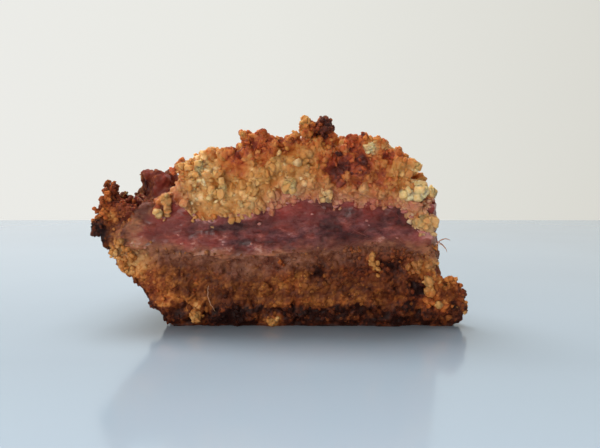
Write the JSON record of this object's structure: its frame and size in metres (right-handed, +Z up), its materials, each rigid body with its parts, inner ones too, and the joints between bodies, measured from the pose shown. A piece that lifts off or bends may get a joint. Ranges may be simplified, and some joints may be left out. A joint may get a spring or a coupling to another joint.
{
  "type": "slice of crumble cake",
  "caption": "Wedge slice of crumble cake with a crumb crust that rises to a rough rim, a soft fruit layer and a lumpy browned crumble topping.",
  "frame": {"origin": "middle of the bounding box at the flat underside that the slice rests on", "axes": "+X runs from the rim to the tip of the wedge, -Y is the front cut face, +Z is up"},
  "size_m": [0.104, 0.07, 0.0568],
  "materials": {
    "crust": "rough baked crumb",
    "fruit": "moist and glossy",
    "crumble": "rough browned crumb"
  },
  "bodies": {
    "root": {"base_crust": "crust", "fruit_filling": "fruit", "crumble_topping": "crumble"}
  },
  "joints": []
}
